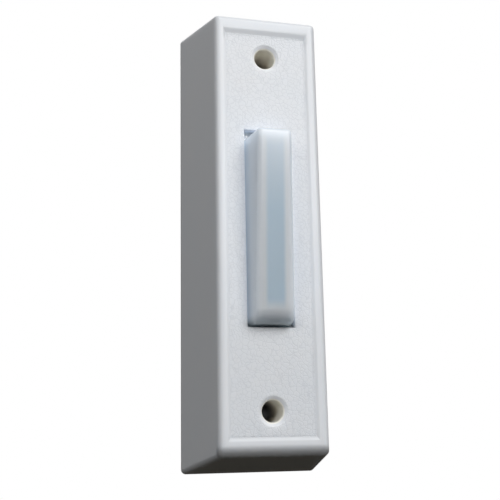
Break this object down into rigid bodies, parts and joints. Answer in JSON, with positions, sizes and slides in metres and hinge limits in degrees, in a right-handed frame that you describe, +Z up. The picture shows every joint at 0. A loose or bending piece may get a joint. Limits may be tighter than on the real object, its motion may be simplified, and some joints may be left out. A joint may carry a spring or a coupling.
{
  "type": "doorbell push button",
  "caption": "Upright surface mounted doorbell push button with a drafted housing, a crowned translucent push bar, countersunk fixing holes, spring return and a leaf contact.",
  "frame": {"origin": "centre of the wall face, midway between the two fixing holes", "axes": "+Z up along the long side, -Y out of the front, +X to the right seen from the front"},
  "size_m": [0.0286, 0.0256, 0.0952],
  "materials": {
    "housing_plastic": "glossy white moulded plastic with a fine leather grain on the front panel",
    "bar_plastic": "polished milky translucent plastic",
    "guide_plastic": "pale blue translucent plastic",
    "plate_board": "dark brown laminated board",
    "strip_brass": "stamped brass strip",
    "leaf_bronze": "rolled spring bronze",
    "contact_silver": "plain silver contact",
    "rivet_brass": "turned brass",
    "plated_steel": "zinc plated steel",
    "spring_steel": "drawn spring wire",
    "lamp_lens": "clear cast lamp body",
    "lead_wire": "tinned wire",
    "resistor_body": "tan coated resistor"
  },
  "bodies": {
    "base": {"housing": "housing_plastic", "back_plate": "plate_board", "fixed_strip": "strip_brass", "contact_leaf": "leaf_bronze", "fixed_contact": "contact_silver", "strip_rivet": "rivet_brass", "leaf_rivet": "rivet_brass", "terminal_screw_upper": "plated_steel", "terminal_screw_lower": "plated_steel", "clamp_washer_upper": "plated_steel", "clamp_washer_lower": "plated_steel", "terminal_nut_upper": "rivet_brass", "terminal_nut_lower": "rivet_brass", "return_spring_upper": "spring_steel", "return_spring_lower": "spring_steel", "indicator_lamp": "lamp_lens", "lamp_lead_left": "lead_wire", "lamp_lead_right": "lead_wire", "resistor": "resistor_body", "resistor_lead_upper": "lead_wire", "resistor_lead_lower": "lead_wire"},
    "bar": {"push_bar": "bar_plastic", "light_guide": "guide_plastic"},
    "leaf_end": {"leaf_contact": "contact_silver"}
  },
  "joints": [
    {"name": "bar_press", "type": "slide", "parent": "base", "child": "bar", "axis": [0, 1, 0], "range_m": [0, 0.0015], "stiffness_N_per_m": 900, "springref_m": -0.0025, "deforming": ["return_spring_upper", "return_spring_lower", "contact_leaf"]},
    {"name": "leaf_bend", "type": "hinge", "parent": "base", "child": "leaf_end", "pos_m": [0.0048, -0.00735, -0.017], "axis": [-1, 0, 0], "range_deg": [0, 6.25]}
  ],
  "couplings": [
    {"joint": "leaf_bend", "follows": "bar_press", "rad_per_m": 72.727}
  ]
}
